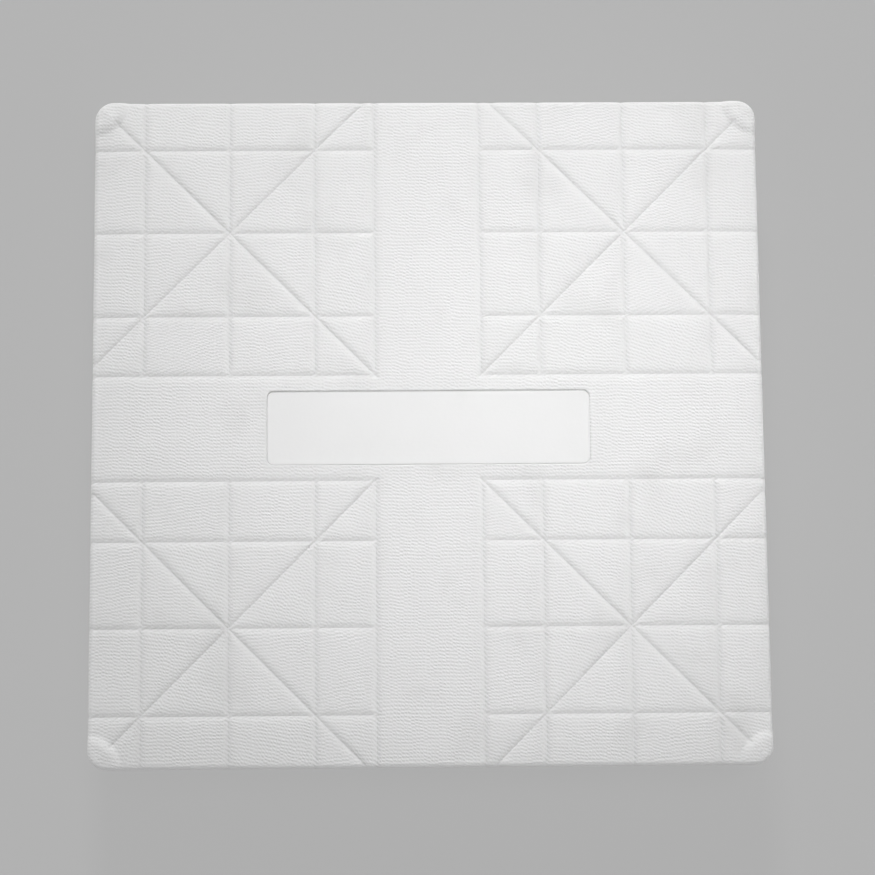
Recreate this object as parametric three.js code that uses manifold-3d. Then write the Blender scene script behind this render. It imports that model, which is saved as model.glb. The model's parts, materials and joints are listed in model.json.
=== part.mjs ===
// Baseball base with a ground stem: a moulded rubber cover over a foam core and a steel frame.
// The square stem under the base drops into a steel sleeve that is set in the ground.
// Millimetres, +Z up. The origin is the middle of the base's underside, at ground level.

import * as THREE from "three";
import { mergeVertices } from "three/addons/utils/BufferGeometryUtils.js";
import Module from "manifold-3d";

// The base as a whole
const BASE_SIDE = 381;
const BASE_HEIGHT = 76.2;
const CORNER_RADIUS = 11;
const CORNER_STEPS = 5;

// Border that falls slightly round the top face, and the edges of the side walls
const BORDER_WIDTH = 29.1;
const BORDER_DROP = 1.2;
const EDGE_ROUND = 4;
const EDGE_STEPS = 3;
const FOOT_CHAMFER = 1.5;

// Tread grooves in the four quarters of the top face, either side of a plain cross
const CROSS_BAND_WIDTH = 60.2;
const TREAD_PITCH = 48.6;
const GROOVE_WIDTH = 4.6;
const GROOVE_DEPTH = 1.5;

// Raised pad on each corner of the border
const PAD_RADIUS = 19;
const PAD_FLANK = 5;
const PAD_RISE = 2;
const PAD_ROOT = 0.3;
const PAD_SIDES = 24;

// Bare panel let into the middle of the top face
const PANEL_LENGTH = 182;
const PANEL_WIDTH = 41.5;
const PANEL_RADIUS = 3.5;
const PANEL_THICKNESS = 1.8;
const PANEL_INSET = 0.5;
const PANEL_CLEARANCE = 0.45;

// Rubber shell of the cover and the lip that turns in under it
const COVER_WALL = 6;
const COVER_SKIN = 9;
const LIP_WIDTH = 30;
const LIP_THICKNESS = 5;
const FOOT_WIDTH = 10;

// Steel plate that closes the underside
const PLATE_THICKNESS = 3;
const PLATE_INSET = 0.8;

// Steel rails that lie on the lip inside the cover
const RAIL_WIDTH = 24;
const RAIL_THICKNESS = 6;
const RAIL_SETBACK = 2;

// Countersunk screws that pinch the lip between the plate and the rails
const SCREW_DIAMETER = 6.4;
const SCREW_HEAD_DIAMETER = 11.6;
const SCREW_SPACING = 130;
const SCREWS_PER_RAIL = 3;
const SCREW_SIDES = 16;
const SOCKET_ACROSS = 4;
const SOCKET_DEPTH = 1.8;
const SCREW_CLEARANCE = 0.3;

// Square stem, its cap and its gussets
const STEM_SIDE = 38.1;
const STEM_WALL = 3.2;
const STEM_CORNER = 5;
const STEM_DEPTH = 140;
const STEM_RISE = 30;
const CAP_SIDE = 70;
const CAP_THICKNESS = 4;
const GUSSET_LENGTH = 36;
const GUSSET_HEIGHT = 24;
const GUSSET_THICKNESS = 5;

// Ground sleeve and its wings
const SLEEVE_CLEARANCE = 0.8;
const SLEEVE_WALL = 3.2;
const SLEEVE_LENGTH = 194;
const SLEEVE_SINK = 6;
const WING_REACH = 32;
const WING_HEIGHT = 60;
const WING_THICKNESS = 5;
const WING_SETBACK = 12;

// Gap between pieces that rest on each other, and the room round the steel inside the foam
const SEAT_GAP = 0.3;
const FOAM_CLEARANCE = 0.5;

// Finishes
const RUBBER = { color: 0xe9e8e3, roughness: 0.62, metalness: 0 };
const PANEL_FINISH = { color: 0xf0f0ee, roughness: 0.45, metalness: 0 };
const FOAM = { color: 0xd9cfae, roughness: 0.95, metalness: 0 };
const GALVANISED = { color: 0xa3a8aa, roughness: 0.45, metalness: 1 };
const ZINC = { color: 0xb9bcbd, roughness: 0.3, metalness: 1 };

// Heights up the stack, from the ground
const half = BASE_SIDE / 2;
const borderHalf = half - BORDER_WIDTH;
const plateTop = PLATE_INSET + PLATE_THICKNESS;
const lipBottom = plateTop + SEAT_GAP;
const lipTop = lipBottom + LIP_THICKNESS;
const railBottom = lipTop + SEAT_GAP;
const railTop = railBottom + RAIL_THICKNESS;
const cavityTop = BASE_HEIGHT - COVER_SKIN;
const stemTop = plateTop + STEM_RISE;
const capTop = stemTop + SEAT_GAP + CAP_THICKNESS;
const wallTop = BASE_HEIGHT - BORDER_DROP;

// Distances out from the middle
const cavityHalf = half - COVER_WALL;
const cavityCorner = Math.max(CORNER_RADIUS - COVER_WALL, SEAT_GAP);
const lipHalf = cavityHalf - LIP_WIDTH;
const recessHalf = half - FOOT_WIDTH;
const railOuter = cavityHalf - RAIL_SETBACK;
const railInner = railOuter - RAIL_WIDTH;
const screwLine = (railOuter + railInner) / 2;
const stemHalf = STEM_SIDE / 2;
const sleeveBoreHalf = stemHalf + SLEEVE_CLEARANCE;
const sleeveHalf = sleeveBoreHalf + SLEEVE_WALL;
const frameReach = Math.max(stemHalf + SEAT_GAP + GUSSET_LENGTH, CAP_SIDE / 2);

// Tread lines of one quarter, from the plain cross out to the border
const treadCentre = borderHalf - TREAD_PITCH;
const crossHalf = CROSS_BAND_WIDTH / 2;
const treadLines = [crossHalf, treadCentre - TREAD_PITCH, treadCentre, borderHalf];

const MERGE_DISTANCE = 1e-4;
const QUARTERS = [[1, 1], [-1, 1], [-1, -1], [1, -1]];
const SIDES = ["front", "right", "back", "left"];

const wasm = await Module();
wasm.setup();

// A closed solid, ready to be joined and cut, from a geometry whose shared corners are merged.
function solidFrom(geometry) {
  const bare = geometry.clone();
  bare.deleteAttribute("normal");
  bare.deleteAttribute("uv");
  const merged = mergeVertices(bare, MERGE_DISTANCE);
  const vertProperties = Float32Array.from(merged.attributes.position.array);
  const triVerts = Uint32Array.from(merged.index.array);
  return new wasm.Manifold(new wasm.Mesh({ numProp: 3, vertProperties, triVerts }));
}

function geometryFrom(solid) {
  const { numProp, vertProperties, triVerts } = solid.getMesh();
  const geometry = new THREE.BufferGeometry();
  const positions = Float32Array.from(vertProperties);
  geometry.setAttribute("position", new THREE.BufferAttribute(positions, numProp));
  geometry.setIndex(new THREE.BufferAttribute(Uint32Array.from(triVerts), 1));
  geometry.computeVertexNormals();
  return geometry;
}

// Points round a rectangle with rounded corners, anticlockwise from the +X side.
function roundedOutline(halfX, halfY, radius) {
  const r = Math.min(radius, halfX, halfY);
  const points = [];
  QUARTERS.forEach(([signX, signY], quarter) => {
    for (let step = 0; step <= CORNER_STEPS; step += 1) {
      const angle = (quarter + step / CORNER_STEPS) * (Math.PI / 2);
      const x = signX * (halfX - r) + r * Math.cos(angle);
      const y = signY * (halfY - r) + r * Math.sin(angle);
      points.push(new THREE.Vector2(x, y));
    }
  });
  return points;
}

// A solid through a stack of square outlines, each with its half side, corner radius and height.
function squareLoft(levels) {
  const rings = levels.map(({ side, radius, z }) => (
    roundedOutline(side, side, radius).map((point) => [point.x, point.y, z])
  ));
  const count = rings[0].length;
  const indices = [];
  for (let level = 0; level + 1 < rings.length; level += 1) {
    for (let i = 0; i < count; i += 1) {
      const a = level * count + i;
      const b = level * count + ((i + 1) % count);
      indices.push(a, b, b + count, a, b + count, a + count);
    }
  }
  const last = (rings.length - 1) * count;
  for (let i = 1; i + 1 < count; i += 1) {
    indices.push(0, i + 1, i);
    indices.push(last, last + i, last + i + 1);
  }
  const geometry = new THREE.BufferGeometry();
  geometry.setAttribute("position", new THREE.Float32BufferAttribute(rings.flat(2), 3));
  geometry.setIndex(indices);
  return geometry;
}

// An upright prism on a rounded rectangle, with an optional rounded opening right through it.
function roundedPrism({ halfX, halfY, radius, bottom, top, opening }) {
  const shape = new THREE.Shape(roundedOutline(halfX, halfY, radius));
  if (opening) {
    const { halfX: openX, halfY: openY, radius: openRadius } = opening;
    shape.holes.push(new THREE.Path(roundedOutline(openX, openY, openRadius)));
  }
  const geometry = new THREE.ExtrudeGeometry(shape, { depth: top - bottom, bevelEnabled: false });
  return geometry.translate(0, 0, bottom);
}

function block(sizeX, sizeY, bottom, top) {
  const geometry = new THREE.BoxGeometry(sizeX, sizeY, top - bottom);
  return geometry.translate(0, 0, (bottom + top) / 2);
}

// Turned shape about +Z from a profile of [radius, height] points that starts and ends on the axis.
function turned(profile, sides) {
  const points = profile.map(([radius, z]) => new THREE.Vector2(radius, z));
  return new THREE.LatheGeometry(points, sides).rotateX(Math.PI / 2);
}

// Height of the top face and its sloping border at a point in plan.
function topHeight(x, y) {
  const beyond = Math.max(Math.abs(x), Math.abs(y)) - borderHalf;
  return BASE_HEIGHT - Math.max(beyond, 0) * (BORDER_DROP / BORDER_WIDTH);
}

// A long V-shaped wedge that follows the top face through the given points of one straight line.
function grooveWedge(points) {
  const along = points[points.length - 1].clone().sub(points[0]).normalize();
  const across = new THREE.Vector2(-along.y, along.x).multiplyScalar(GROOVE_WIDTH);
  const positions = [];
  const indices = [0, 2, 1];
  points.forEach(({ x, y }, i) => {
    const z = topHeight(x, y);
    positions.push(x, y, z - GROOVE_DEPTH);
    positions.push(x + across.x, y + across.y, z + GROOVE_DEPTH);
    positions.push(x - across.x, y - across.y, z + GROOVE_DEPTH);
    if (i > 0) {
      const [bottom, left, right] = [3 * i, 3 * i + 1, 3 * i + 2];
      const [bottomBefore, leftBefore, rightBefore] = [bottom - 3, left - 3, right - 3];
      indices.push(leftBefore, rightBefore, right, leftBefore, right, left);
      indices.push(bottomBefore, leftBefore, left, bottomBefore, left, bottom);
      indices.push(rightBefore, bottomBefore, bottom, rightBefore, bottom, right);
    }
  });
  const end = positions.length / 3 - 3;
  indices.push(end, end + 1, end + 2);
  const geometry = new THREE.BufferGeometry();
  geometry.setAttribute("position", new THREE.Float32BufferAttribute(positions, 3));
  geometry.setIndex(indices);
  return geometry;
}

// Wedges for one quarter: lines both ways, and two diagonals that cross at the tread's centre.
function quarterGrooves(signX, signY) {
  const reach = half + GROOVE_WIDTH;
  const place = (x, y) => new THREE.Vector2(signX * x, signY * y);
  const wedges = [];
  treadLines.forEach((line) => {
    wedges.push([place(crossHalf, line), place(borderHalf, line), place(reach, line)]);
    wedges.push([place(line, crossHalf), place(line, borderHalf), place(line, reach)]);
  });
  const padInner = half - PAD_RADIUS / 2;
  wedges.push([
    place(crossHalf, crossHalf), place(borderHalf, borderHalf), place(padInner, padInner),
  ]);
  const facing = 2 * treadCentre;
  wedges.push([
    place(facing - reach, reach), place(facing - borderHalf, borderHalf),
    place(borderHalf, facing - borderHalf), place(reach, facing - reach),
  ]);
  return wedges.map((points) => solidFrom(grooveWedge(points)));
}

// Levels from the ground up the side wall and over its rounded edge. The edge rounds into a face
// that would meet the wall at the height top, and that climbs inwards at the given slope.
function wallLevels(top, slope) {
  const levels = [
    { side: half - FOOT_CHAMFER, radius: CORNER_RADIUS, z: 0 },
    { side: half, radius: CORNER_RADIUS, z: FOOT_CHAMFER },
  ];
  const sweep = Math.PI / 2 - Math.atan(slope);
  const centre = top + slope * EDGE_ROUND - EDGE_ROUND / Math.sin(sweep);
  for (let step = 0; step <= EDGE_STEPS; step += 1) {
    const angle = (sweep * step) / EDGE_STEPS;
    const side = half - EDGE_ROUND + EDGE_ROUND * Math.cos(angle);
    levels.push({ side, radius: CORNER_RADIUS, z: centre + EDGE_ROUND * Math.sin(angle) });
  }
  return levels;
}

// Outside of the cover, up to the flat middle of its top face, with its top lifted by a rise.
function coverOutside(rise) {
  const top = { side: borderHalf, radius: GROOVE_WIDTH / 2, z: BASE_HEIGHT + rise };
  return solidFrom(squareLoft([...wallLevels(wallTop + rise, BORDER_DROP / BORDER_WIDTH), top]));
}

// Low pads round the corners of the base's plan. Each lifts the sloping border, inside a flank that
// starts a little below it.
function cornerPads() {
  const bottom = wallTop - EDGE_ROUND;
  const lifted = coverOutside(PAD_RISE);
  return QUARTERS.map(([signX, signY]) => {
    const points = [];
    const addRing = (radius, height) => {
      for (let i = 0; i < PAD_SIDES; i += 1) {
        const angle = (2 * Math.PI * i) / PAD_SIDES;
        const x = signX * half + radius * Math.cos(angle);
        const y = signY * half + radius * Math.sin(angle);
        points.push([x, y, height(x, y)]);
      }
    };
    addRing(PAD_RADIUS, () => bottom);
    addRing(PAD_RADIUS, (x, y) => topHeight(x, y) - PAD_ROOT);
    addRing(PAD_RADIUS - PAD_FLANK, (x, y) => topHeight(x, y) + PAD_RISE);
    return wasm.Manifold.hull(points).intersect(lifted);
  });
}

// Space inside the cover, with its edges drawn in by a clearance and its floor at a given height.
function coverInside(bottom, clearance) {
  const side = cavityHalf - clearance;
  const shoulder = cavityTop - BORDER_DROP - clearance;
  return solidFrom(squareLoft([
    { side, radius: cavityCorner, z: bottom },
    { side, radius: cavityCorner, z: shoulder },
    { side: borderHalf - clearance, radius: GROOVE_WIDTH / 2, z: cavityTop - clearance },
  ]));
}

// Turned shape of a countersunk screw, from its flush head to the top of the rail.
function screwShape(clearance) {
  const shank = SCREW_DIAMETER / 2;
  const head = SCREW_HEAD_DIAMETER / 2;
  const start = PLATE_INSET;
  const cone = start + head - shank;
  const end = railTop;
  const profile = [
    [0, start - clearance], [head + 2 * clearance, start - clearance],
    [shank + clearance, cone], [shank + clearance, end + clearance], [0, end + clearance],
  ];
  return solidFrom(turned(profile, SCREW_SIDES));
}

// Places of the screws: a row along each rail, in the order of SIDES.
function screwPlaces() {
  const places = [];
  SIDES.forEach((side, quarter) => {
    for (let i = 0; i < SCREWS_PER_RAIL; i += 1) {
      const along = (i - (SCREWS_PER_RAIL - 1) / 2) * SCREW_SPACING;
      const place = new THREE.Vector2(along, -screwLine);
      places.push(place.rotateAround(new THREE.Vector2(), (quarter * Math.PI) / 2));
    }
  });
  return places;
}

const screwHoles = screwPlaces().map(({ x, y }) => screwShape(SCREW_CLEARANCE).translate([x, y, 0]));

function cutScrewHoles(solid) {
  return screwHoles.reduce((rest, hole) => rest.subtract(hole), solid);
}

const base = new THREE.Group();

function addPiece(group, name, geometry, finish) {
  const mesh = new THREE.Mesh(geometry, new THREE.MeshStandardMaterial(finish));
  mesh.name = name;
  group.add(mesh);
  return mesh;
}

// Rubber cover: grooved and padded outside, hollow inside, open underneath within its lip
function makeCover() {
  let solid = coverOutside(0);
  QUARTERS.forEach(([signX, signY]) => {
    quarterGrooves(signX, signY).forEach((wedge) => {
      solid = solid.subtract(wedge);
    });
  });
  cornerPads().forEach((pad) => {
    solid = solid.add(pad);
  });
  const recess = roundedPrism({
    halfX: PANEL_LENGTH / 2 + PANEL_CLEARANCE,
    halfY: PANEL_WIDTH / 2 + PANEL_CLEARANCE,
    radius: PANEL_RADIUS + PANEL_CLEARANCE,
    bottom: BASE_HEIGHT - PANEL_INSET - PANEL_THICKNESS - SEAT_GAP,
    top: BASE_HEIGHT + PANEL_THICKNESS,
  });
  solid = solid.subtract(solidFrom(recess));
  solid = solid.subtract(coverInside(lipTop, 0));
  solid = solid.subtract(solidFrom(block(2 * lipHalf, 2 * lipHalf, -PLATE_INSET, railBottom)));
  solid = solid.subtract(solidFrom(block(2 * recessHalf, 2 * recessHalf, -PLATE_INSET, lipBottom)));
  addPiece(base, "cover", geometryFrom(cutScrewHoles(solid)), RUBBER);
}

function makePanel() {
  const top = BASE_HEIGHT - PANEL_INSET;
  const plan = { halfX: PANEL_LENGTH / 2, halfY: PANEL_WIDTH / 2, radius: PANEL_RADIUS };
  addPiece(base, "centre_panel", roundedPrism({ ...plan, bottom: top - PANEL_THICKNESS, top }), PANEL_FINISH);
}

// Foam core: fills the cover above the rails and inside them, with a pocket for the stem's head
function makeFoam() {
  const windowHalf = Math.min(lipHalf, railInner) - FOAM_CLEARANCE;
  const floor = plateTop + SEAT_GAP;
  const ledge = railTop + SEAT_GAP;
  const pocket = 2 * (frameReach + FOAM_CLEARANCE);
  const lower = solidFrom(block(2 * windowHalf, 2 * windowHalf, floor, (ledge + cavityTop) / 2));
  const upper = coverInside(ledge, SEAT_GAP);
  const hollow = solidFrom(block(pocket, pocket, PLATE_INSET, capTop + FOAM_CLEARANCE));
  addPiece(base, "foam_core", geometryFrom(upper.add(lower).subtract(hollow)), FOAM);
}

// Plate across the underside, with countersunk holes and a square hole for the stem
function makePlate() {
  const side = 2 * (recessHalf - SEAT_GAP);
  const opening = stemHalf + SEAT_GAP;
  const stemHole = roundedPrism({
    halfX: opening, halfY: opening, radius: STEM_CORNER, bottom: 0, top: stemTop,
  });
  const sheet = solidFrom(block(side, side, PLATE_INSET, plateTop));
  addPiece(base, "base_plate", geometryFrom(cutScrewHoles(sheet.subtract(solidFrom(stemHole)))), GALVANISED);
}

// Rails: the front and back ones run the full width and the other two fit between them
function makeRails() {
  SIDES.forEach((side, quarter) => {
    const long = quarter % 2 === 0;
    const length = 2 * (long ? railOuter : railInner - SEAT_GAP);
    const bar = block(length, RAIL_WIDTH, railBottom, railTop).translate(0, -screwLine, 0);
    const solid = solidFrom(bar.rotateZ((quarter * Math.PI) / 2));
    addPiece(base, `${side}_rail`, geometryFrom(cutScrewHoles(solid)), GALVANISED);
  });
}

function makeScrews() {
  const across = SOCKET_ACROSS / Math.sqrt(3);
  const socket = new THREE.CylinderGeometry(across, across, 2 * SOCKET_DEPTH, 6).rotateX(Math.PI / 2);
  const recess = solidFrom(socket.translate(0, 0, PLATE_INSET));
  const geometry = geometryFrom(screwShape(0).subtract(recess));
  screwPlaces().forEach(({ x, y }, i) => {
    addPiece(base, `plate_screw_${i + 1}`, geometry, ZINC).position.set(x, y, 0);
  });
}

// Stem: square tube through the plate, closed by a cap and braced by a gusset on each side
function makeStem() {
  const bore = stemHalf - STEM_WALL;
  const boreCorner = Math.max(STEM_CORNER - STEM_WALL, SEAT_GAP);
  const tube = roundedPrism({
    halfX: stemHalf, halfY: stemHalf, radius: STEM_CORNER, bottom: -STEM_DEPTH, top: stemTop,
    opening: { halfX: bore, halfY: bore, radius: boreCorner },
  });
  addPiece(base, "stem", tube, GALVANISED);
  addPiece(base, "stem_cap", block(CAP_SIDE, CAP_SIDE, stemTop + SEAT_GAP, capTop), GALVANISED);
  const heel = stemHalf + SEAT_GAP;
  const foot = plateTop + SEAT_GAP;
  const triangle = new THREE.Shape([
    new THREE.Vector2(heel, foot),
    new THREE.Vector2(heel + GUSSET_LENGTH, foot),
    new THREE.Vector2(heel, foot + GUSSET_HEIGHT),
  ]);
  const web = new THREE.ExtrudeGeometry(triangle, { depth: GUSSET_THICKNESS, bevelEnabled: false });
  web.translate(0, 0, -GUSSET_THICKNESS / 2).rotateX(Math.PI / 2);
  SIDES.forEach((side, quarter) => {
    const turn = ((quarter - 1) * Math.PI) / 2;
    addPiece(base, `${side}_gusset`, web, GALVANISED).rotation.z = turn;
  });
}

const anchor = new THREE.Group();

// Ground sleeve: square tube open at both ends, held in the ground by a wing on each side
function makeAnchor() {
  const top = -SLEEVE_SINK;
  const bottom = top - SLEEVE_LENGTH;
  const sleeve = roundedPrism({
    halfX: sleeveHalf, halfY: sleeveHalf, radius: STEM_CORNER + SLEEVE_WALL, bottom, top,
    opening: { halfX: sleeveBoreHalf, halfY: sleeveBoreHalf, radius: STEM_CORNER },
  });
  addPiece(anchor, "anchor_sleeve", sleeve, GALVANISED);
  const wingBottom = bottom + WING_SETBACK;
  const wing = block(WING_REACH, WING_THICKNESS, wingBottom, wingBottom + WING_HEIGHT);
  wing.translate(sleeveHalf + SEAT_GAP + WING_REACH / 2, 0, 0);
  SIDES.forEach((side, quarter) => {
    addPiece(anchor, `anchor_wing_${side}`, wing, GALVANISED).rotation.z = ((quarter - 1) * Math.PI) / 2;
  });
}

makeCover();
makePanel();
makeFoam();
makePlate();
makeRails();
makeScrews();
makeStem();
makeAnchor();

const assembly = new THREE.Group();
assembly.add(anchor, base);

export default assembly;
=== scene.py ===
import json
import math

import bpy
import numpy as np
from bpy.props import FloatProperty, FloatVectorProperty, PointerProperty
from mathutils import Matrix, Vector


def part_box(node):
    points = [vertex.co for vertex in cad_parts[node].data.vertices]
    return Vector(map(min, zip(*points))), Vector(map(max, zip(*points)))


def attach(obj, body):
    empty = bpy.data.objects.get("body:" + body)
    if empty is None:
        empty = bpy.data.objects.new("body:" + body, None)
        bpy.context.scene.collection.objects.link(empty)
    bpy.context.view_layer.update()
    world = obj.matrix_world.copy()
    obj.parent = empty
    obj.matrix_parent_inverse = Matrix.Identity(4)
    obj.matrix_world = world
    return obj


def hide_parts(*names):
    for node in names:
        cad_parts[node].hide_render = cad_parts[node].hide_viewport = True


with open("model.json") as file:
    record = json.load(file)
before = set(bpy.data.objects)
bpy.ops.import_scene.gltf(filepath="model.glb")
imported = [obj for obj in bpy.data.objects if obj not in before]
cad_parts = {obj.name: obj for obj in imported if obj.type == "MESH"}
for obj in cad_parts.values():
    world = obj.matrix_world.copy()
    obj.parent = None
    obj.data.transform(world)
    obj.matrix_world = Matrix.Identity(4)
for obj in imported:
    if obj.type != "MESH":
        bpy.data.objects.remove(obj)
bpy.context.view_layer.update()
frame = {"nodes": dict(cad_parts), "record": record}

bl_info = {
    "name": "Baseball base",
    "version": (1, 0, 0),
    "blender": (4, 5, 0),
    "location": "3D View > Sidebar > Field base",
    "description": "Dresses the parts of a baseball base that stands on a stem in a ground sleeve",
    "category": "Object",
}

MM = 0.001
FULL_TURN = 2 * math.pi
QUARTER_TURN = math.pi / 2
SHARP_ANGLE = math.radians(40)
# Places closer than this (metres) count as one
NEAR = 1e-9
# Gap between pieces that rest on each other
SEAT = 0.3 * MM


def linear(hex_colour):
    """Linear RGB of an sRGB hex colour."""
    channels = (int(hex_colour[i:i + 2], 16) / 255 for i in (0, 2, 4))
    return tuple(c / 12.92 if c <= 0.04045 else ((c + 0.055) / 1.055) ** 2.4 for c in channels)


def length(label, text, millimetres):
    """A length that the sidebar shows in the scene's units."""
    return FloatProperty(name=label, description=text, default=millimetres * MM, unit="LENGTH", precision=4)


def colour(label, text, hex_colour):
    """A colour that the sidebar shows as a swatch."""
    return FloatVectorProperty(
        name=label, description=text, default=linear(hex_colour), subtype="COLOR", min=0.0, max=1.0
    )


def position(label, text, metres):
    """A place in the scene."""
    return FloatVectorProperty(name=label, description=text, default=metres, subtype="TRANSLATION")


def degrees(label, text, angle):
    """An angle that the sidebar shows in degrees."""
    return FloatProperty(name=label, description=text, default=math.radians(angle), subtype="ANGLE")


def watts(label, text, power):
    """The power of a lamp."""
    return FloatProperty(name=label, description=text, default=power, unit="POWER")


def factor(label, text, value):
    """A share, shown as a slider."""
    return FloatProperty(
        name=label, description=text, default=value, subtype="FACTOR", min=0.0, soft_max=1.0
    )


class CoverSettings(bpy.types.PropertyGroup):
    """Sizes and colours of the moulded rubber cover."""

    corner_radius: length("Corner radius", "Radius of the cover's corners in plan", 11)
    border_width: length("Border width", "Width of the border round the top face", 29.1)
    border_drop: length("Border drop", "How far the border falls to the edge", 1.6)
    edge_round: length("Edge rounding", "Radius between the border and the side wall", 3)
    cross_band: length("Cross band", "Width of the plain cross between the four quarters", 60.2)
    tread_pitch: length("Tread pitch", "Spacing of the tread lines", 48.6)
    groove_depth: length("Groove depth", "Depth of a tread groove", 1.1)
    groove_fade: length("Groove fade", "Distance over which a groove's flank levels out", 1.7)
    pad_radius: length("Pad radius", "Reach of a corner pad from the corner of the plan", 19.5)
    pad_flank: length("Pad flank", "Width of a corner pad's inner slope", 5.5)
    pad_rise: length("Pad rise", "How far a corner pad lifts the border", 2.1)
    panel_inset: length("Panel inset", "Depth of the centre panel below the top face", 0.5)
    wall: length("Wall", "Thickness of the side walls", 6)
    skin: length("Skin", "Thickness under the top face", 9)
    lip_width: length("Lip width", "Width of the lip that turns in under the cover", 30)
    lip_thickness: length("Lip thickness", "Thickness of that lip", 5)
    foot_width: length("Foot width", "Width of the rim that stands on the ground", 10)
    foot_round: length("Foot rounding", "Rounding of the rim's outer edge", 1.5)
    mesh_step: length("Mesh step", "Spacing of the points on the top face", 1)
    ripple_pitch: length("Ripple pitch", "Spacing of the rows in the moulded grain", 2)
    ripple_length: length("Ripple length", "Length of one ridge along a row", 2.1)
    ripple_depth: length("Ripple depth", "Height of the moulded ridges", 0.112)
    crease_depth: length("Crease depth", "Depth of the sharp line at the bottom of a slanted groove", 0.24)
    seam_width: length("Seam width", "Width of the corded strip along a tread line", 1.3)
    cord_pitch: length("Cord pitch", "Spacing of the slanted strokes along an upright tread line", 2.7)
    rubber_colour: colour("Rubber", "Colour of clean rubber", "e9e9e9")
    # Smudges and specks are grime of this colour, and the grooves are also tinted a little towards it
    grime_and_groove_colour: colour("Grime", "Colour of the dust held in grooves and smudges", "b8b7b5")


class PanelSettings(bpy.types.PropertyGroup):
    """Sizes and colour of the bare panel in the middle of the top face."""

    clearance: length("Clearance", "Gap between the panel and its recess", 0.45)
    corner_radius: length("Corner radius", "Radius of the panel's corners", 3.5)
    edge_round: length("Edge rounding", "Rounding of the panel's upper edge", 0.4)
    gap_depth: length("Gap depth", "Depth of the gap round the panel", 0.8)
    lean: length("Lean", "How far the panel lies off the middle of its recess, to the front and left", 0.22)
    seat_gap: length("Seat gap", "Gap under the panel", 0.3)
    panel_colour: colour("Panel", "Colour of the bare panel", "eeeeee")
    cloud_colour: colour("Cloud", "Colour that faint clouds in the vinyl lean to", "c8c8c7")


class SteelSettings(bpy.types.PropertyGroup):
    """Colours and pattern sizes of the metal and foam under the cover."""

    spangle: length("Spangle", "Width of one zinc crystal on the galvanised steel", 9)
    steel_dark: colour("Dark spangle", "Darker crystals of the zinc", "8f9698")
    steel_light: colour("Light spangle", "Lighter crystals of the zinc", "b9bfc0")
    zinc_colour: colour("Screw zinc", "Bright zinc plating of the screws", "c9cccd")
    zinc_haze: colour("Screw haze", "Duller haze in that plating", "aeb2b4")
    weld_leg: length("Weld leg", "Width of a weld bead", 3)
    weld_ripple: length("Weld ripple", "Spacing of the ripples along a weld bead", 2.4)
    foam_colour: colour("Foam", "Colour of the foam core", "d9cfae")
    # Painted shade: the colour that the foam takes in the pits of its cells
    foam_cell_shade: colour("Foam hollow", "Colour in the cells of the foam", "b7aa84")
    foam_cell: length("Foam cell", "Width of one cell of the foam", 1.5)


class StageSettings(bpy.types.PropertyGroup):
    """Floor, light and camera."""

    floor_reach: length("Floor reach", "Half the width of the floor", 4000)
    floor_colour: colour("Floor", "Colour of the floor and the background", "b7b7b7")
    floor_bounce: colour("Floor bounce", "Colour of the light that the floor throws back", "e6e6e6")
    floor_glow: factor("Floor glow", "Share of the floor that shows as plain background", 0.82)
    camera_place: position("Camera place", "Where the camera stands", (-0.01886, -0.188, 1.33999))
    camera_turn: FloatVectorProperty(
        name="Camera turn", description="How the camera is turned", default=(0.14326, -0.01758, -0.00884),
        subtype="EULER",
    )
    lens: FloatProperty(name="Lens", description="Focal length of the camera", default=92.983, unit="CAMERA")
    key_place: position("Key place", "Where the soft key light hangs", (-0.09, 1.38, 1.55))
    key_aim: position("Key aim", "Where the key light points", (0.055, 0.005, 0.076))
    key_size: length("Key size", "Width of the key light", 350)
    key_spread: degrees("Key spread", "Angle that the key light spreads over", 180)
    key_power: watts("Key power", "Power of the key light", 17.0)
    box_place: position("Soft box place", "Where the soft box hangs", (0.2, 0.1, 1.25))
    box_aim: position("Soft box aim", "Where the soft box points", (0.075, 0.03, 0.076))
    box_size: length("Soft box size", "Width of the soft box", 350)
    box_spread: degrees("Soft box spread", "Angle that the grid of the soft box lets through", 28.5)
    box_power: watts("Soft box power", "Power of the soft box", 0.165)
    fill: factor("Fill", "Strength of the light from all round", 0.28)
    fill_lean: factor("Fill lean", "How much stronger the fill is from the key light's side", 0.3)
    fill_low: factor("Low fill", "How much stronger the fill is just above the horizon, for the walls", 0.62)


SETTINGS = {
    "base_cover": CoverSettings,
    "base_panel": PanelSettings,
    "base_steel": SteelSettings,
    "base_stage": StageSettings,
}


def add_node(tree, kind, inputs=None, **settings):
    """Add a shader node, set its properties, and fill its inputs with values, links or other nodes."""
    node = tree.nodes.new("ShaderNode" + kind)
    for name, value in settings.items():
        setattr(node, name, value)
    for name, value in (inputs or {}).items():
        if isinstance(name, str):
            socket = next(s for s in node.inputs if s.enabled and s.name == name)
        else:
            socket = node.inputs[name]
        if isinstance(value, bpy.types.Node):
            value = next(s for s in value.outputs if s.enabled)
        if isinstance(value, bpy.types.NodeSocket):
            tree.links.new(value, socket)
        else:
            socket.default_value = (*value, 1.0) if socket.type == "RGBA" else value
    return node


def new_material(name):
    """An empty node material and its tree."""
    material = bpy.data.materials.new(name)
    material.use_nodes = True
    material.node_tree.nodes.clear()
    return material, material.node_tree


def surfaced(material, shader):
    """The material, with a shader sent to its surface."""
    add_node(material.node_tree, "OutputMaterial", {"Surface": shader})
    return material


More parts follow.
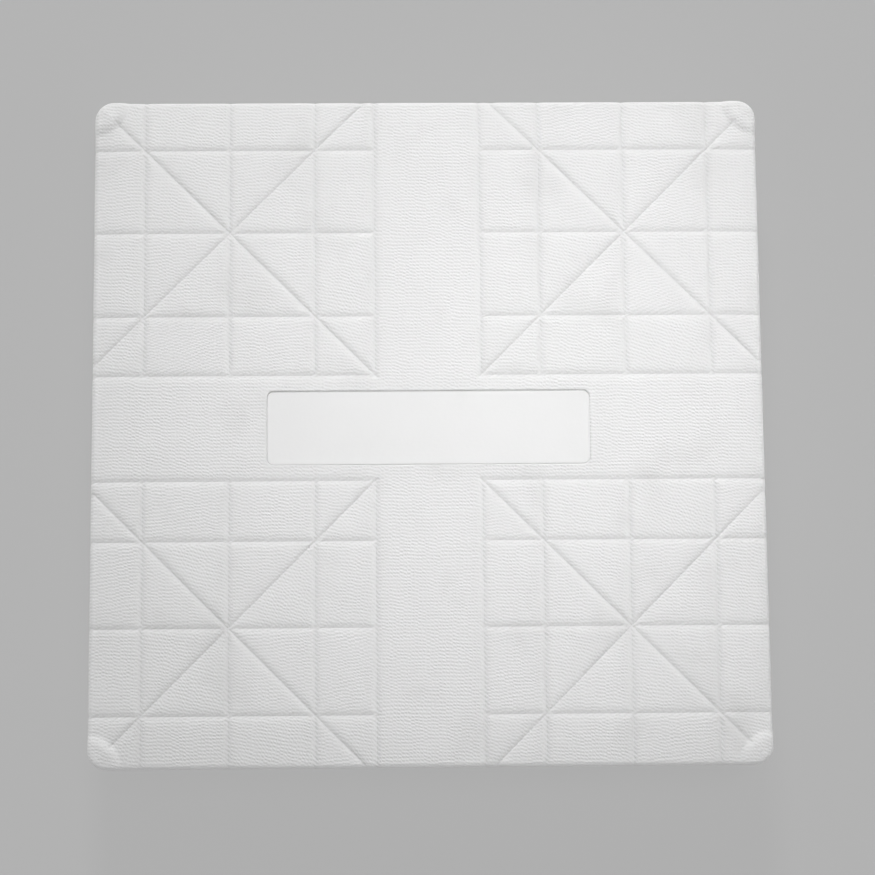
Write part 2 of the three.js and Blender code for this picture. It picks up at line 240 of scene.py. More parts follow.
def rubber_material(cover):
    # White moulded rubber: the mould was grained like canvas, with short ridges in rows that line up
    # in loose columns and a corded strip along each tread line. So the face is matt and its shading
    # breaks up. The grooves are coloured a little darker, and there are faint smudges and a few specks.
    material, tree = new_material("Moulded white rubber")
    place, lay, seams = (
        add_node(tree, "Attribute", attribute_name=name).outputs["Vector"]
        for name in ("skin", "grain", "seam")
    )
    hollow = add_node(tree, "Attribute", attribute_name="hollow").outputs["Fac"]
    drift_width, shift_length, patch_width, grit_width = 20 * MM, 12 * MM, 5 * MM, 1.3 * MM
    smudge_width, speck_spacing, crease_width = 45 * MM, 60 * MM, 1 * MM
    waves, column_shift, grit_share, groove_darkening = (4 * MM, 1.8 * MM, 0.0), 2 * MM, 1.9, 0.08

    # Columns of short ridges; each column has the ridges at its own heights, and fades at its sides
    drift = add_node(tree, "TexNoise", {"Vector": place, "Scale": 1 / drift_width, "Detail": 2.0})
    sway = drift.outputs["Color"]
    wavy, bent = (
        add_node(tree, "VectorMath", {0: sway, 1: waves, 2: start}, operation="MULTIPLY_ADD")
        for start in (lay, place)
    )
    split = add_node(tree, "SeparateXYZ", {"Vector": wavy})
    column = add_node(tree, "Math", {0: split.outputs["X"], 1: cover.ripple_length}, operation="DIVIDE")
    number = add_node(tree, "Math", {0: column}, operation="FLOOR")
    height = add_node(tree, "Math", {0: split.outputs["Y"], 1: shift_length}, operation="DIVIDE")
    cell = add_node(tree, "CombineXYZ", {"X": number, "Y": height, "Z": 0.5})
    offset = add_node(tree, "TexNoise", {"Vector": cell, "Scale": 1.0, "Detail": 0.0})
    raised = add_node(
        tree, "Math", {0: offset, 1: column_shift, 2: split.outputs["Y"]}, operation="MULTIPLY_ADD"
    )
    row_turn = add_node(tree, "Math", {0: raised, 1: FULL_TURN / cover.ripple_pitch}, operation="MULTIPLY")
    rows = add_node(tree, "Math", {0: row_turn}, operation="COSINE")
    half_turn = add_node(tree, "Math", {0: column, 1: math.pi}, operation="MULTIPLY")
    swing = add_node(tree, "Math", {0: half_turn}, operation="SINE")
    fade = add_node(tree, "Math", {0: swing}, operation="ABSOLUTE")
    patch = add_node(tree, "TexNoise", {"Vector": place, "Scale": 1 / patch_width, "Detail": 3.0})
    relief = add_node(
        tree, "MapRange", {"Value": patch, "From Min": 0.3, "From Max": 0.7, "To Min": 0.5, "To Max": 1.2}
    )
    dashed = add_node(tree, "Math", {0: rows, 1: fade}, operation="MULTIPLY")
    ridges = add_node(tree, "Math", {0: dashed, 1: relief}, operation="MULTIPLY")

    # Slanted strokes of the cord along the upright and level tread lines
    turn = FULL_TURN / cover.cord_pitch
    seam = add_node(tree, "SeparateXYZ", {"Vector": seams})
    slants = {"X": (0.8 * turn, turn, 0.0), "Y": (0.6 * turn, -0.9 * turn, 0.0)}
    strokes = ridges
    for share, slant in slants.items():
        phase = add_node(tree, "VectorMath", {0: bent, 1: slant}, operation="DOT_PRODUCT")
        stroke = add_node(tree, "Math", {0: phase}, operation="COSINE")
        strokes = add_node(tree, "Mix", {"Factor": seam.outputs[share], "A": strokes, "B": stroke})
    grit = add_node(tree, "TexNoise", {"Vector": place, "Scale": 1 / grit_width, "Detail": 2.0})
    rough = add_node(tree, "Math", {0: grit, 1: grit_share, 2: strokes}, operation="MULTIPLY_ADD")

    # Sharp bottom of the slanted tread lines
    plan = add_node(tree, "VectorMath", {0: place}, operation="ABSOLUTE")
    root = math.sqrt(0.5)
    ways = []
    for slope, middle in ((-root, 0.0), (root, 2 * root * TopFace(cover).centre)):
        along = add_node(tree, "VectorMath", {0: plan, 1: (root, slope, 0.0)}, operation="DOT_PRODUCT")
        beside = add_node(tree, "Math", {0: along, 1: middle}, operation="SUBTRACT")
        ways.append(add_node(tree, "Math", {0: beside}, operation="ABSOLUTE"))
    nearest = add_node(tree, "Math", {0: ways[0], 1: ways[1]}, operation="MINIMUM")
    crease = add_node(
        tree, "MapRange",
        {"Value": nearest, "From Max": crease_width,
         "To Min": -cover.crease_depth / cover.ripple_depth, "To Max": 0.0},
    )
    held = add_node(tree, "MapRange", {"Value": hollow, "From Min": 0.2, "From Max": 0.5})
    grain = add_node(tree, "Math", {0: crease, 1: held, 2: rough}, operation="MULTIPLY_ADD")
    bump = add_node(tree, "Bump", {"Height": grain, "Distance": cover.ripple_depth})

    smudge = add_node(tree, "TexNoise", {"Vector": place, "Scale": 1 / smudge_width, "Detail": 4.0})
    smear = add_node(tree, "MapRange", {"Value": smudge, "From Min": 0.55, "From Max": 0.8, "To Max": 0.2})
    # The grooves are coloured a little darker in step with their depth, and the smudges add to that
    darkening = add_node(tree, "Math", {0: hollow, 1: groove_darkening, 2: smear}, operation="MULTIPLY_ADD")
    spots = add_node(tree, "TexVoronoi", {"Vector": place, "Scale": 1 / speck_spacing})
    speck = add_node(
        tree, "MapRange",
        {"Value": spots, "From Min": 0.006, "From Max": 0.016, "To Min": 0.5, "To Max": 0.0},
    )
    grime_and_groove_tone = add_node(tree, "Math", {0: darkening, 1: speck}, operation="MAXIMUM")
    tint = add_node(
        tree, "Mix", {"Factor": grime_and_groove_tone, "A": cover.rubber_colour, "B": cover.grime_and_groove_colour}, data_type="RGBA"
    )
    gloss = add_node(tree, "MapRange", {"Value": smudge, "To Min": 0.52, "To Max": 0.68})
    shader = add_node(
        tree, "BsdfPrincipled", {"Base Color": tint, "Roughness": gloss, "IOR": 1.5, "Normal": bump}
    )
    return surfaced(material, shader)


def panel_material(panel):
    # Smooth calendered vinyl: dull satin face with the faintest orange peel.
    material, tree = new_material("Calendered white vinyl")
    place = add_node(tree, "TexCoord").outputs["Object"]
    cloud_width, peel_width, peel_depth = 22 * MM, 1.8 * MM, 0.03 * MM
    cloud = add_node(tree, "TexNoise", {"Vector": place, "Scale": 1 / cloud_width, "Detail": 3.0})
    peel = add_node(tree, "TexNoise", {"Vector": place, "Scale": 1 / peel_width, "Detail": 1.0})
    bump = add_node(tree, "Bump", {"Height": peel, "Distance": peel_depth})
    shade = add_node(tree, "MapRange", {"Value": cloud, "To Max": 0.1})
    tint = add_node(
        tree, "Mix", {"Factor": shade, "A": panel.panel_colour, "B": panel.cloud_colour}, data_type="RGBA"
    )
    gloss = add_node(tree, "MapRange", {"Value": cloud, "To Min": 0.6, "To Max": 0.72})
    shader = add_node(
        tree, "BsdfPrincipled", {"Base Color": tint, "Roughness": gloss, "IOR": 1.53, "Normal": bump}
    )
    return surfaced(material, shader)


def steel_material(steel):
    # Hot-dip galvanised steel: flat zinc crystals that catch the light differently, dull between.
    name = "Hot-dip galvanised steel"
    if name in bpy.data.materials:
        return bpy.data.materials[name]
    material, tree = new_material(name)
    place = add_node(tree, "TexCoord").outputs["Object"]
    haze_width, haze_depth, crystal_share = 3 * MM, 0.06 * MM, 0.6
    crystals = add_node(tree, "TexVoronoi", {"Vector": place, "Scale": 1 / steel.spangle})
    split = add_node(tree, "SeparateColor", {"Color": crystals.outputs["Color"]})
    haze = add_node(tree, "TexNoise", {"Vector": place, "Scale": 1 / haze_width, "Detail": 4.0})
    blend = add_node(
        tree, "Math", {0: split.outputs["Red"], 1: crystal_share, 2: haze}, operation="MULTIPLY_ADD"
    )
    level = add_node(tree, "MapRange", {"Value": blend, "From Min": 0.2, "From Max": 1.3})
    tint = add_node(
        tree, "Mix", {"Factor": level, "A": steel.steel_dark, "B": steel.steel_light}, data_type="RGBA"
    )
    gloss = add_node(tree, "MapRange", {"Value": split.outputs["Green"], "To Min": 0.34, "To Max": 0.52})
    bump = add_node(tree, "Bump", {"Height": haze, "Distance": haze_depth})
    shader = add_node(
        tree, "BsdfPrincipled", {"Base Color": tint, "Metallic": 1.0, "Roughness": gloss, "Normal": bump}
    )
    return surfaced(material, shader)


def zinc_material(steel):
    # Bright zinc-plated screw: clean pale metal with a fine drawn haze.
    material, tree = new_material("Bright zinc plating")
    place = add_node(tree, "TexCoord").outputs["Object"]
    haze_width = 0.9 * MM
    haze = add_node(tree, "TexNoise", {"Vector": place, "Scale": 1 / haze_width, "Detail": 3.0})
    tint = add_node(
        tree, "Mix", {"Factor": haze, "A": steel.zinc_colour, "B": steel.zinc_haze}, data_type="RGBA"
    )
    gloss = add_node(tree, "MapRange", {"Value": haze, "To Min": 0.2, "To Max": 0.38})
    shader = add_node(tree, "BsdfPrincipled", {"Base Color": tint, "Metallic": 1.0, "Roughness": gloss})
    return surfaced(material, shader)


def foam_material(steel):
    # Open-cell polyurethane foam: dry, matt, and pitted with small cells, with painted shade in each pit.
    material, tree = new_material("Open-cell polyurethane foam")
    place = add_node(tree, "TexCoord").outputs["Object"]
    cell_depth = 0.5 * MM
    cells = add_node(tree, "TexVoronoi", {"Vector": place, "Scale": 1 / steel.foam_cell})
    # Painted shade: each cell is darker towards its middle, where its pit is deepest
    tint = add_node(
        tree, "Mix", {"Factor": cells, "A": steel.foam_cell_shade, "B": steel.foam_colour}, data_type="RGBA"
    )
    bump = add_node(tree, "Bump", {"Height": cells, "Distance": cell_depth})
    shader = add_node(tree, "BsdfPrincipled", {"Base Color": tint, "Roughness": 0.95, "Normal": bump})
    return surfaced(material, shader)


def seen_directly(tree):
    """1 for rays from the camera and for those that metal or glass sends on, else 0."""
    path = add_node(tree, "LightPath").outputs
    seen = add_node(
        tree, "Math", {0: path["Is Camera Ray"], 1: path["Is Glossy Ray"]}, operation="MAXIMUM"
    )
    return add_node(tree, "Math", {0: seen, 1: path["Is Transmission Ray"]}, operation="MAXIMUM")


def floor_material(stage):
    # Matt painted floor: plain grey from above, and clear from below so that the buried sleeve shows.
    # Part of what the camera sees is the plain background grey, which keeps the shadow light, and the
    # light that the floor throws back on the walls is that of a paler floor.
    material, tree = new_material("Matt painted floor")
    shown = seen_directly(tree)
    place = add_node(tree, "TexCoord").outputs["Object"]
    cloud_width = 300 * MM
    cloud = add_node(tree, "TexNoise", {"Vector": place, "Scale": 1 / cloud_width, "Detail": 3.0})
    gloss = add_node(tree, "MapRange", {"Value": cloud, "To Min": 0.85, "To Max": 0.95})
    tint = add_node(
        tree, "Mix", {"Factor": shown, "A": stage.floor_bounce, "B": stage.floor_colour}, data_type="RGBA"
    )
    paint = add_node(
        tree, "BsdfPrincipled", {"Base Color": tint, "Roughness": gloss, "Specular IOR Level": 0.0}
    )
    plain = add_node(tree, "Emission", {"Color": stage.floor_colour, "Strength": 1.0})
    share = add_node(tree, "Math", {0: shown, 1: stage.floor_glow}, operation="MULTIPLY")
    seen = add_node(tree, "MixShader", {0: share, 1: paint, 2: plain})
    clear = add_node(tree, "BsdfTransparent")
    behind = add_node(tree, "NewGeometry").outputs["Backfacing"]
    return surfaced(material, add_node(tree, "MixShader", {0: behind, 1: seen, 2: clear}))


def add_mesh(name, points, faces, material):
    """A smooth mesh object in the row frame, with its sharp edges kept sharp."""
    mesh = bpy.data.meshes.new(name)
    mesh.from_pydata([tuple(p) for p in points], [], faces)
    mesh.validate()
    mesh.polygons.foreach_set("use_smooth", [True] * len(mesh.polygons))
    mesh.set_sharp_from_angle(angle=SHARP_ANGLE)
    mesh.materials.append(material)
    piece = bpy.data.objects.new(name, mesh)
    bpy.context.scene.collection.objects.link(piece)
    return piece


def axis_lines(keys, step):
    """Positions both ways from the middle that pass through every key, at most a step apart."""
    keys, slack = sorted({0.0, *keys}), 1e-6
    out = [0.0]
    for start, end in zip(keys, keys[1:]):
        count = max(1, math.ceil((end - start) / step - slack))
        out.extend(start + (end - start) * (i + 1) / count for i in range(count))
    return np.array([-v for v in reversed(out[1:])] + out)


def joined_rings(first, second):
    """Quads between two rings of point numbers, which run the same way round."""
    return list(zip(first, [*first[1:], first[0]], [*second[1:], second[0]], second))


def smooth_step(value):
    """An S-shaped rise from 0 to 1."""
    value = np.clip(value, 0, 1)
    return value * value * (3 - 2 * value)


class TopFace:
    """Height of the cover's top face: border, tread grooves and corner pads."""

    CREASE_MIX = 6
    CREASE_TIP = 0.35 * MM
    PAD_SHOULDER = 10 * MM
    PAD_FALL = 0.15
    PAD_CURVE = 1.8
    TILT = math.radians(7)
    TILT_SEED = 4

    def __init__(self, cover):
        self.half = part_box("cover")[1][0]
        self.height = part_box("centre_panel")[1][2] + cover.panel_inset
        self.cover = cover
        self.border_half = self.half - cover.border_width
        self.centre = self.border_half - cover.tread_pitch
        self.cross = cover.cross_band / 2
        self.lines = [self.cross, self.centre - cover.tread_pitch, self.centre, self.border_half]
        self.slope = 2 * cover.border_drop / cover.border_width

    def border(self, x, y):
        """Height of the plain top face and its border, which falls away more and more to the edge."""
        beyond = np.maximum(np.maximum(np.abs(x), np.abs(y)) - self.border_half, 0)
        return self.height - self.cover.border_drop * (beyond / self.cover.border_width) ** 2

    def groove(self, distance):
        """Share of the full groove depth at a distance from its line."""
        tip = self.CREASE_TIP
        return np.exp(-(np.sqrt(distance ** 2 + tip ** 2) - tip) / self.cover.groove_fade)

    def grooves(self, x, y):
        """Share of the full groove depth at points in plan."""
        ax, ay = np.abs(x), np.abs(y)
        total = np.zeros_like(ax)
        for line in self.lines:
            for across, along in ((ax, ay), (ay, ax)):
                short = np.maximum(self.cross - along, 0)
                total += self.groove(np.hypot(across - line, short)) ** self.CREASE_MIX
        root = math.sqrt(2)
        along = (ax + ay) / root
        short = np.maximum(self.cross * root - along, 0)
        total += self.groove(np.hypot((ax - ay) / root, short)) ** self.CREASE_MIX
        total += self.groove(np.abs(ax + ay - 2 * self.centre) / root) ** self.CREASE_MIX
        return total ** (1 / self.CREASE_MIX)

    def pads(self, x, y):
        """How far the corner pads have risen at points in plan, from 0 to 1."""
        reach = np.hypot(self.half - np.abs(x), self.half - np.abs(y))
        climb = np.clip((self.cover.pad_radius - reach) / self.cover.pad_flank, 0, 1)
        return 1 - (1 - climb) ** self.PAD_CURVE

    def at(self, x, y):
        """Height and groove share at points in plan."""
        pad = self.pads(x, y)
        outer = (np.maximum(np.abs(x), np.abs(y)) - self.half) / self.PAD_SHOULDER + 1
        lift = self.cover.pad_rise * pad * (1 - self.PAD_FALL * smooth_step(outer))
        hollow = self.grooves(x, y) * (1 - pad)
        return self.border(x, y) + lift - self.cover.groove_depth * hollow, hollow

    def tilts(self, x, y):
        """Tilt of the grain at points in plan: each cell of the tread has its own, the cross none."""
        ax, ay = np.abs(x), np.abs(y)
        count = len(self.lines) + 1
        table = np.random.default_rng(self.TILT_SEED).normal(0, self.TILT, (2, 2, count, count, 2, 2))
        table[:, :, 0], table[:, :, :, 0] = 0, 0
        across, down = np.searchsorted(self.lines, ax), np.searchsorted(self.lines, ay)
        halves = [np.asarray(test, dtype=int) for test in (x > 0, y > 0, ax > ay, ax + ay > 2 * self.centre)]
        return table[halves[0], halves[1], across, down, halves[2], halves[3]]

    def seams(self, x, y):
        """Shares of the corded strips along the upright and the level tread lines."""
        ax, ay = np.abs(x), np.abs(y)
        shares = []
        for across, along in ((ax, ay), (ay, ax)):
            near = np.min([np.abs(across - line) for line in self.lines], axis=0)
            inside = smooth_step((along - self.cross) / self.cover.seam_width + 1)
            shares.append(np.exp(-(near / self.cover.seam_width) ** 2) * inside * (1 - self.pads(x, y)))
        return np.column_stack([*shares, np.zeros(len(ax))])


class Shell:
    """Points, faces and pattern places of the cover's mesh as it grows."""

    def __init__(self):
        self.points, self.places, self.hollows, self.faces, self.turned = [], [], [], [], {}

    def add(self, points, places, hollows):
        """Add points and return their numbers."""
        first = len(self.points)
        self.points.extend(points)
        self.places.extend(places)
        self.hollows.extend(hollows)
        return list(range(first, len(self.points)))

    def corner_places(self):
        """Pattern place of each corner of each face; the walls have places of their own."""
        return [
            place for number, face in enumerate(self.faces)
            for place in self.turned.get(number, [self.places[i] for i in face])
        ]


def build_cover(cover, panel):
    """Points and faces of the cover: top face, side walls, foot, lip and the hollow inside."""
    face = TopFace(cover)
    half, tilt = face.half, math.atan(face.slope)
    grid_half = half - cover.edge_round * (1 - math.sin(tilt))
    grid_corner = cover.corner_radius - (half - grid_half)
    core = grid_half - grid_corner
    recess_margin = 5 * MM
    panel_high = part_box("centre_panel")[1]
    recess_half = np.array([panel_high[0], panel_high[1]]) + panel.clearance
    recess_corner = panel.corner_radius + panel.clearance
    hole = recess_half + recess_margin
    keys = [*face.lines, *hole, grid_half, core]
    keys += [2 * face.centre - k for k in (hole[0], grid_half, core)]
    lines = axis_lines([k for k in keys if k <= grid_half], cover.mesh_step)
    count = len(lines)

    gx, gy = (a.ravel() for a in np.meshgrid(lines, lines))
    px, py = np.clip(np.abs(gx) - core, 0, None), np.clip(np.abs(gy) - core, 0, None)
    corner = (px > 0) & (py > 0)
    scale = np.where(corner, np.maximum(px, py) / np.maximum(np.hypot(px, py), NEAR), 1)
    x = np.where(corner, np.sign(gx) * (core + px * scale), gx)
    y = np.where(corner, np.sign(gy) * (core + py * scale), gy)
    z, hollow = face.at(x, y)

    keep = (np.abs(gx) >= hole[0] - NEAR) | (np.abs(gy) >= hole[1] - NEAR)
    number = np.where(keep, np.cumsum(keep) - 1, -1).reshape(count, count)
    shell = Shell()
    flat = np.stack([x, y, np.zeros_like(x)], 1)
    shell.add(np.stack([x, y, z], 1)[keep].tolist(), flat[keep].tolist(), hollow[keep].tolist())
    middle = (lines[:-1] + lines[1:]) / 2
    for j in range(count - 1):
        for i in range(count - 1):
            if abs(middle[i]) < hole[0] and abs(middle[j]) < hole[1]:
                continue
            shell.faces.append((number[j, i], number[j, i + 1], number[j + 1, i + 1], number[j + 1, i]))

    edge = [*number[0, :-1], *number[:-1, -1], *number[-1, :0:-1], *number[:0:-1, 0]]
    close_outside(shell, edge, face, cover, grid_half, core)
    across = np.flatnonzero(np.abs(lines) <= hole[0] + NEAR)
    down = np.flatnonzero(np.abs(lines) <= hole[1] + NEAR)
    left, right, bottom, top = across[0], across[-1], down[0], down[-1]
    rim = [*number[bottom, left:right], *number[bottom:top, right],
           *number[top, right:left:-1], *number[top:bottom:-1, left]]
    close_recess(shell, rim, face, recess_half, recess_corner, panel)
    return shell


def close_outside(shell, edge, face, cover, grid_half, core):
    """Carry the top face's edge over the rounding, down the wall, under the foot and up the inside."""
    plan = np.array([shell.points[i][:2] for i in edge])
    rise = np.array([shell.points[i][2] for i in edge])
    centre = np.clip(plan, -core, core)
    out = (plan - centre) / np.linalg.norm(plan - centre, axis=1)[:, None]
    edge_hollow = np.array([shell.hollows[i] for i in edge])
    last, travelled = edge, 0.0
    before = (grid_half, rise)
    half, corner = face.half, cover.corner_radius
    wall_plan = centre * ((half - corner) / core) + out * corner
    round_it = np.linalg.norm(np.roll(wall_plan, -1, axis=0) - wall_plan, axis=1)
    along = np.concatenate([[0], np.cumsum(round_it)]) - half

    def ring(side, radius, z, hollow, level=False):
        nonlocal last, travelled, before
        flat = centre * ((side - radius) / core) + out * radius
        z = np.broadcast_to(z, rise.shape)
        was = travelled
        travelled += math.hypot(side - before[0], float(np.mean(np.abs(z - before[1]))))
        before = (side, z)
        places = np.column_stack([plan + out * travelled, np.zeros(len(plan))])
        points = np.column_stack([flat, z])
        new = shell.add(points.tolist(), places.tolist(), (edge_hollow * hollow).tolist())
        for i, (a, b, c, d) in enumerate(joined_rings(last, new)):
            if level:
                upper, lower = -grid_half - was, -grid_half - travelled
                shell.turned[len(shell.faces)] = [
                    (along[i], upper, 0.0), (along[i], lower, 0.0),
                    (along[i + 1], lower, 0.0), (along[i + 1], upper, 0.0),
                ]
            shell.faces.append((a, d, c, b))
        last = new

    tilt = math.atan(face.slope)
    round_steps, wall_rows, foot_steps = 6, 14, 3
    grid_corner = grid_half - core
    for step in range(1, round_steps + 1):
        angle = tilt + (QUARTER_TURN - tilt) * step / round_steps
        reach = cover.edge_round * (math.sin(angle) - math.sin(tilt))
        drop = cover.edge_round * (math.cos(tilt) - math.cos(angle))
        ring(grid_half + reach, grid_corner + reach, rise - drop, 1 - step / round_steps)
    wall_top = before[1]
    for row in range(1, wall_rows + 1):
        share = row / wall_rows
        ring(half, corner, wall_top * (1 - share) + cover.foot_round * share, 0, level=True)
    foot = cover.foot_round
    for step in range(1, foot_steps + 1):
        angle = QUARTER_TURN * step / foot_steps
        inward = foot * (1 - math.cos(angle))
        ring(half - inward, corner - inward, foot * (1 - math.sin(angle)), 0, level=True)
    plate_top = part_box("base_plate")[1][2]
    recess, recess_corner = half - cover.foot_width, 0.5 * MM
    cavity, cavity_corner = half - cover.wall, corner - cover.wall
    lip, lip_corner = cavity - cover.lip_width, 2 * MM
    under_lip, over_lip = plate_top + SEAT, plate_top + SEAT + cover.lip_thickness
    ceiling = face.height - cover.skin
    for side, radius, z in (
        (recess, recess_corner, 0),
        (recess, recess_corner, under_lip),
        (lip, lip_corner, under_lip),
        (lip, lip_corner, over_lip),
        (cavity, cavity_corner, over_lip),
        (cavity, cavity_corner, ceiling - cover.border_drop),
        (face.border_half, lip_corner, ceiling),
    ):
        ring(side, radius, z, 0)
    shell.faces.append(tuple(reversed(last)))


def close_recess(shell, rim, face, recess_half, recess_corner, panel):
    """Fill the hole in the top face with the rounded recess that takes the panel."""
    plan = np.array([shell.points[i][:2] for i in rim])
    core = recess_half - recess_corner
    centre = np.clip(plan, -core, core)
    offset = plan - centre
    far = np.linalg.norm(offset, axis=1)
    out = offset / far[:, None]
    edge_round, round_steps, flat_steps = 0.5 * MM, 4, 4
    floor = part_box("centre_panel")[0][2] - panel.seat_gap
    brink = recess_corner + edge_round
    levels = [(brink + (far - brink) * (1 - step / flat_steps), None) for step in range(1, flat_steps + 1)]
    for step in range(1, round_steps + 1):
        angle = QUARTER_TURN * step / round_steps
        drop = edge_round * (1 - math.cos(angle))
        levels.append((recess_corner + edge_round * (1 - math.sin(angle)), drop))
    levels.append((recess_corner, face.height - floor))
    last = rim
    for reach, drop in levels:
        flat = centre + out * np.broadcast_to(reach, far.shape)[:, None]
        z, hollow = face.at(flat[:, 0], flat[:, 1])
        if drop is not None:
            z = np.where(drop < face.height - floor, z - drop, floor)
        places = np.column_stack([flat, np.zeros(len(flat))])
        new = shell.add(np.column_stack([flat, z]).tolist(), places.tolist(), hollow.tolist())
        shell.faces.extend(joined_rings(last, new))
        last = new
    shell.faces.append(tuple(last))


def rounded_ring(half_x, half_y, radius, z, steps=8):
    """Points round a rectangle with rounded corners, anticlockwise."""
    points = []
    for quarter, (sx, sy) in enumerate(((1, 1), (-1, 1), (-1, -1), (1, -1))):
        for step in range(steps + 1):
            angle = (quarter + step / steps) * QUARTER_TURN
            points.append((
                sx * (half_x - radius) + radius * math.cos(angle),
                sy * (half_y - radius) + radius * math.sin(angle), z,
            ))
    return points


def numbered(rings):
    """The points of rings in one list, and the numbers that each ring's points have in it."""
    count = len(rings[0])
    numbers = [list(range(i * count, (i + 1) * count)) for i in range(len(rings))]
    return [point for ring in rings for point in ring], numbers


def loft(rings):
    """Points and faces of a closed form through rings that run from its bottom to its top."""
    points, numbers = numbered(rings)
    faces = [tuple(reversed(numbers[0]))]
    for first, second in zip(numbers, numbers[1:]):
        faces.extend(joined_rings(first, second))
    faces.append(tuple(numbers[-1]))
    return points, faces


def even_path(outline, nearby, ripple, ripple_points):
    """Even points round a closed outline, so many to a ripple, and the way out towards a second one."""
    closed, beside = (np.vstack([a, a[:1]]) for a in (outline, nearby))
    lengths = np.linalg.norm(np.diff(closed, axis=0), axis=1)
    run = np.concatenate([[0], np.cumsum(lengths)])
    at = np.linspace(0, run[-1], ripple_points * round(run[-1] / ripple), endpoint=False)
    path, out = (np.column_stack([np.interp(at, run, a[:, k]) for k in range(3)]) for a in (closed, beside))
    out = out - path
    return path, out / np.linalg.norm(out, axis=1)[:, None]


def finish_nodes(slot, material):
    """Give every CAD node of one of the record's material slots its finish."""
    for part in frame["record"]["subparts"]:
        if part["material_slot"] != slot:
            continue
        node = frame["nodes"][part["node"]]
        if not node.material_slots:
            node.data.materials.append(material)
        for place in node.material_slots:
            place.material = material


class FIELDBASE_OT_stage(bpy.types.Operator):
    """Set up the floor, the light and the camera."""

    bl_idname = "field_base.stage"
    bl_label = "Stage"

    SENSOR_WIDTH = 36.0
    LOW_BAND = 0.4

    def execute(self, context):
        scene, stage = context.scene, context.scene.base_stage
        scene.view_settings.view_transform = "Standard"

        data = bpy.data.cameras.new("Camera")
        data.lens, data.sensor_width = stage.lens, self.SENSOR_WIDTH
        camera = bpy.data.objects.new("Camera", data)
        camera.location, camera.rotation_euler = stage.camera_place, stage.camera_turn
        scene.collection.objects.link(camera)
        scene.camera = camera

        self.add_floor(stage)
        self.add_light(scene, stage)
        return {"FINISHED"}

    def add_floor(self, stage):
        """Flat ground with a hole down to the sleeve's mouth, and the bottom that the sleeve stands on."""
        low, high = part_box("anchor_sleeve")
        room, corner, lap, drop = 0.05 * MM, 8.2 * MM, 0.5 * MM, 1 * MM
        mouth, reach, below = high[0] + room, stage.floor_reach, -SEAT
        shaft, bottom = high[2] - lap, low[2] - drop
        rings = [rounded_ring(mouth, mouth, corner, z) for z in (below, shaft, bottom)]
        points, numbers = numbered([rounded_ring(reach, reach, reach / 2, below), *rings])
        faces = joined_rings(numbers[0], numbers[1]) + joined_rings(numbers[1], numbers[2])
        faces.append(tuple(numbers[3]))
        floor = add_mesh("floor", points, faces, floor_material(stage))

    def add_light(self, scene, stage):
        """A key light from the back, a soft box above and a fill from all round, strongest low down."""
        for name in ("key", "box"):
            power, size, spread, place, aim = (
                getattr(stage, f"{name}_{part}") for part in ("power", "size", "spread", "place", "aim")
            )
            data = bpy.data.lights.new(name.capitalize(), "AREA")
            data.energy, data.size, data.spread = power, size, spread
            lamp = bpy.data.objects.new(data.name, data)
            lamp.location = place
            lamp.rotation_euler = (Vector(aim) - Vector(place)).to_track_quat("-Z", "Y").to_euler()
            lamp.visible_camera = False
            scene.collection.objects.link(lamp)

        world = bpy.data.worlds.new("Studio")
        world.use_nodes = True
        tree = world.node_tree
        tree.nodes.clear()
        way = add_node(tree, "TexCoord").outputs["Generated"]
        towards = Vector(stage.key_place).normalized() * stage.fill_lean * stage.fill
        lean = add_node(tree, "VectorMath", {0: way, 1: towards}, operation="DOT_PRODUCT")
        even = add_node(tree, "Math", {0: lean, 1: stage.fill}, operation="ADD")
        rise = add_node(tree, "SeparateXYZ", {"Vector": way}).outputs["Z"]
        band = self.LOW_BAND / 2
        low = add_node(tree, "Math", {0: rise, 1: band, 2: band}, operation="COMPARE")
        strength = add_node(tree, "Math", {0: low, 1: stage.fill_low, 2: even}, operation="MULTIPLY_ADD")
        light = add_node(tree, "Background", {"Color": (1, 1, 1), "Strength": strength})
        back = add_node(tree, "Background", {"Color": stage.floor_colour, "Strength": 1.0})
        mixed = add_node(tree, "MixShader", {0: seen_directly(tree), 1: light, 2: back})
        add_node(tree, "OutputWorld", {"Surface": mixed})
        scene.world = world


class FIELDBASE_OT_cover(bpy.types.Operator):
    """Mould the rubber cover."""

    bl_idname = "field_base.cover"
    bl_label = "Rubber cover"

    def execute(self, context):
        cover, panel = context.scene.base_cover, context.scene.base_panel
        shell = build_cover(cover, panel)
        piece = add_mesh("rubber_cover", shell.points, shell.faces, rubber_material(cover))
        face, places = TopFace(cover), np.array(shell.places)
        corners = np.array(shell.corner_places())
        on_top = np.abs(places).max(axis=1) < face.half
        layers = (
            ("skin", "FLOAT_VECTOR", "CORNER", "vector", corners),
            ("grain", "FLOAT_VECTOR", "CORNER", "vector", self.lay_grain(shell, corners, face)),
            ("hollow", "FLOAT", "POINT", "value", shell.hollows),
            ("seam", "FLOAT_VECTOR", "POINT", "vector", face.seams(*places.T[:2]) * on_top[:, None]),
        )
        for name, kind, domain, field, values in layers:
            layer = piece.data.attributes.new(name, kind, domain)
            layer.data.foreach_set(field, np.array(values, dtype=np.float32).ravel())
        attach(piece, "base")
        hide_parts("cover")
        return {"FINISHED"}

    def lay_grain(self, shell, corners, face):
        """Pattern places of the faces' corners, turned by the tilt of the cell that the face lies in."""
        counts = np.array([len(numbers) for numbers in shell.faces])
        starts = np.concatenate([[0], np.cumsum(counts)[:-1]])
        middle = np.add.reduceat(corners, starts, axis=0) / counts[:, None]
        tilt = face.tilts(middle[:, 0], middle[:, 1])
        tilt[list(shell.turned)] = 0
        tilt = np.repeat(tilt, counts)
        x, y, z = corners.T
        return np.column_stack([
            x * np.cos(tilt) - y * np.sin(tilt), x * np.sin(tilt) + y * np.cos(tilt), z
        ])


